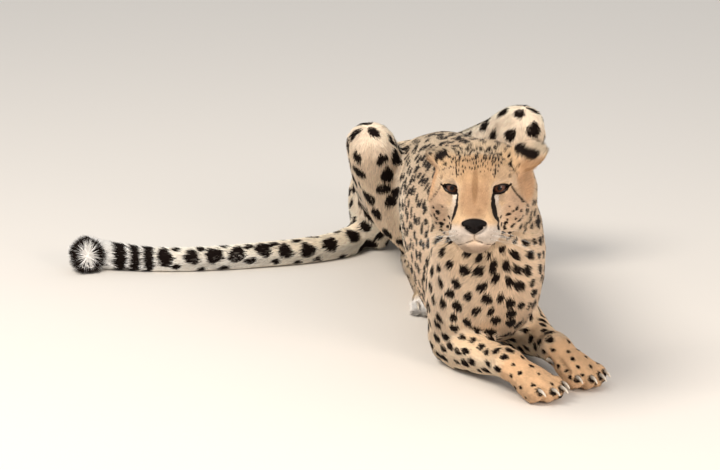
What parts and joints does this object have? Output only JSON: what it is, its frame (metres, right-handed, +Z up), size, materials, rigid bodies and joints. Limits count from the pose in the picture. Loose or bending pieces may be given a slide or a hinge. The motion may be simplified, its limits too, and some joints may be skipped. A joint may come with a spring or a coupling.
{
  "type": "cheetah",
  "caption": "Life-size cheetah lying on its chest, head raised and facing forward, knees up beside the back, spotted coat, tail laid out to its right.",
  "frame": {"origin": "middle of the whole animal's bounding box, at floor level", "axes": "+Z up, -Y ahead of the animal (the way its body and muzzle point), +X to its left; the tail lies out to -X"},
  "size_m": [0.7938, 1.1622, 0.4111],
  "materials": {
    "coat": "matte",
    "horn": "satin",
    "eye": "gloss",
    "nose_leather": "satin"
  },
  "bodies": {
    "root": {"head": "coat", "lower_jaw": "coat", "ear_left": "coat", "ear_right": "coat", "neck": "coat", "chest": "coat", "loin": "coat", "pelvis": "coat", "tail_root": "coat", "tail_middle": "coat", "tail_outer": "coat", "tail_tip": "coat", "upper_arm_right": "coat", "forearm_right": "coat", "fore_paw_right": "coat", "thigh_right": "coat", "shank_right": "coat", "hind_foot_right": "coat", "hind_paw_right": "coat", "upper_arm_left": "coat", "forearm_left": "coat", "fore_paw_left": "coat", "thigh_left": "coat", "shank_left": "coat", "hind_foot_left": "coat", "hind_paw_left": "coat", "claw_fore_right_1": "horn", "claw_fore_right_2": "horn", "claw_fore_right_3": "horn", "claw_fore_right_4": "horn", "claw_fore_right_5": "horn", "claw_fore_left_1": "horn", "claw_fore_left_2": "horn", "claw_fore_left_3": "horn", "claw_fore_left_4": "horn", "claw_fore_left_5": "horn", "claw_hind_right_1": "horn", "claw_hind_right_2": "horn", "claw_hind_right_3": "horn", "claw_hind_right_4": "horn", "claw_hind_left_1": "horn", "claw_hind_left_2": "horn", "claw_hind_left_3": "horn", "claw_hind_left_4": "horn", "eye_right": "eye", "eye_left": "eye", "nose_pad": "nose_leather"}
  },
  "joints": []
}
